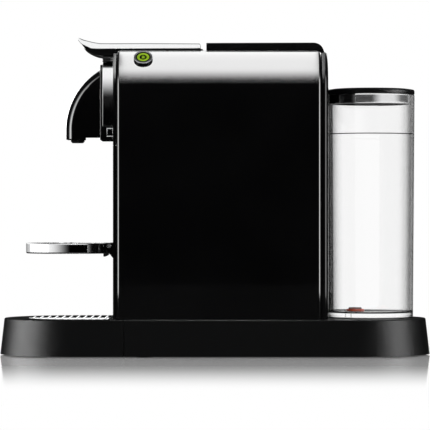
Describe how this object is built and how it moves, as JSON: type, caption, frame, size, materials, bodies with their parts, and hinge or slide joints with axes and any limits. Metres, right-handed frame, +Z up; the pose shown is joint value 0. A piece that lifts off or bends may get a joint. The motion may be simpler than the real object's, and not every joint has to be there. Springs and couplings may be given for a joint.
{
  "type": "pod coffee machine",
  "caption": "Slim upright pod coffee machine on an oval base, with a chrome lever, a domed spout head, a folding cup support, a drip tray and a round clear water tank behind.",
  "frame": {"origin": "centre of the footprint on the table, under the middle of the base's length and width", "axes": "+Z up, the front with the spout looks along -Y, +X on the right of a person who faces the machine"},
  "size_m": [0.13, 0.372, 0.2735],
  "materials": {
    "gloss_black": "high gloss piano black",
    "satin_black": "satin black with a fine grain",
    "inner_black": "plain black moulding",
    "rubber": "soft black rubber",
    "steel": "stainless steel",
    "chrome": "polished chrome",
    "clear": "clear moulded plastic",
    "red_rubber": "red silicone",
    "button_black": "glossy black cap with a plain cup sign",
    "lit_green": "translucent green, lit from behind",
    "aluminium": "die cast",
    "pump_plastic": "natural moulding",
    "coil": "potted coil with steel yoke",
    "board": "green board with parts",
    "hose": "translucent silicone and white polymer hose"
  },
  "bodies": {
    "machine": {"base_housing": "satin_black", "base_plate": "inner_black", "base_feet": "rubber", "base_screws": "steel", "cord_inlet_bush": "inner_black", "tank_socket": "inner_black", "chassis": "inner_black", "side_panel_right": "gloss_black", "side_panel_left": "gloss_black", "rear_cover": "gloss_black", "front_fascia": "gloss_black", "head_housing": "gloss_black", "head_arch": "chrome", "head_clips": "chrome", "spout_cover": "gloss_black", "spout_nozzle": "inner_black", "spout_pipe": "hose", "brew_frame": "inner_black", "top_frame": "inner_black", "lever_hinge_pin": "steel", "brew_front_plate": "inner_black", "injector_block": "inner_black", "button_bezels": "chrome", "button_switches": "inner_black", "pump_body": "pump_plastic", "pump_coil": "coil", "pump_mounts": "rubber", "flow_meter_housing": "inner_black", "heater_block": "aluminium", "thermostats": "steel", "control_board": "board", "suction_hose": "hose", "meter_hose": "hose", "pressure_hose": "hose", "brew_hose": "hose"},
    "lever": {"lever_shell": "chrome", "lever_insert": "inner_black", "lever_cheeks": "inner_black"},
    "cage": {"capsule_cage": "inner_black", "cage_arms": "inner_black", "cage_needles": "steel"},
    "espresso_key": {"espresso_button": "button_black", "espresso_lens": "lit_green"},
    "lungo_key": {"lungo_button": "button_black", "lungo_lens": "lit_green"},
    "meter_rotor": {"flow_meter_rotor": "pump_plastic"},
    "tank": {"water_tank": "clear"},
    "lid": {"tank_lid": "satin_black", "lid_collar": "chrome"},
    "tank_valve": {"valve_plunger": "clear", "valve_seal": "red_rubber", "valve_spring": "steel"},
    "drip_unit": {"drip_base": "satin_black", "capsule_container": "inner_black", "front_panel": "gloss_black", "support_hinge_pin": "steel"},
    "tray": {"drip_tray": "inner_black"},
    "grid": {"drip_grid": "steel"},
    "cup_support": {"cup_support_ring": "chrome", "cup_support_grid": "chrome"}
  },
  "joints": [
    {"name": "lever_hinge", "type": "hinge", "parent": "machine", "child": "lever", "pos_m": [0, -0.018, 0.258], "axis": [-1, 0, 0], "range_deg": [0, 85]},
    {"name": "cage_slide", "type": "slide", "parent": "machine", "child": "cage", "axis": [0, 1, 0], "range_m": [0, 0.028]},
    {"name": "espresso_press", "type": "slide", "parent": "machine", "child": "espresso_key", "axis": [-0.7071, 0, -0.7071], "range_m": [0, 0.0015], "stiffness_N_per_m": 600},
    {"name": "lungo_press", "type": "slide", "parent": "machine", "child": "lungo_key", "axis": [0.7071, 0, -0.7071], "range_m": [0, 0.0015], "stiffness_N_per_m": 600},
    {"name": "meter_spin", "type": "hinge", "parent": "machine", "child": "meter_rotor", "pos_m": [-0.025, 0.04, 0.05], "axis": [0, 0, 1], "continuous": true},
    {"name": "tank_lift", "type": "slide", "parent": "machine", "child": "tank", "axis": [0, 0, 1], "range_m": [0, 0.12]},
    {"name": "lid_lift", "type": "slide", "parent": "tank", "child": "lid", "axis": [0, 0, 1], "range_m": [0, 0.05]},
    {"name": "valve_lift", "type": "slide", "parent": "tank", "child": "tank_valve", "axis": [0, 0, 1], "range_m": [0, 0.002], "stiffness_N_per_m": 300, "deforming": ["valve_spring"]},
    {"name": "drip_unit_slide", "type": "slide", "parent": "machine", "child": "drip_unit", "axis": [0, -1, 0], "range_m": [0, 0.14]},
    {"name": "tray_lift", "type": "slide", "parent": "drip_unit", "child": "tray", "axis": [0, 0, 1], "range_m": [0, 0.024]},
    {"name": "grid_lift", "type": "slide", "parent": "tray", "child": "grid", "axis": [0, 0, 1], "range_m": [0, 0.02]},
    {"name": "support_fold", "type": "hinge", "parent": "drip_unit", "child": "cup_support", "pos_m": [0, -0.0912, 0.0944], "axis": [-1, 0, 0], "range_deg": [0, 90]}
  ],
  "couplings": [
    {"joint": "cage_slide", "follows": "lever_hinge", "m_per_rad": 0.018873}
  ]
}
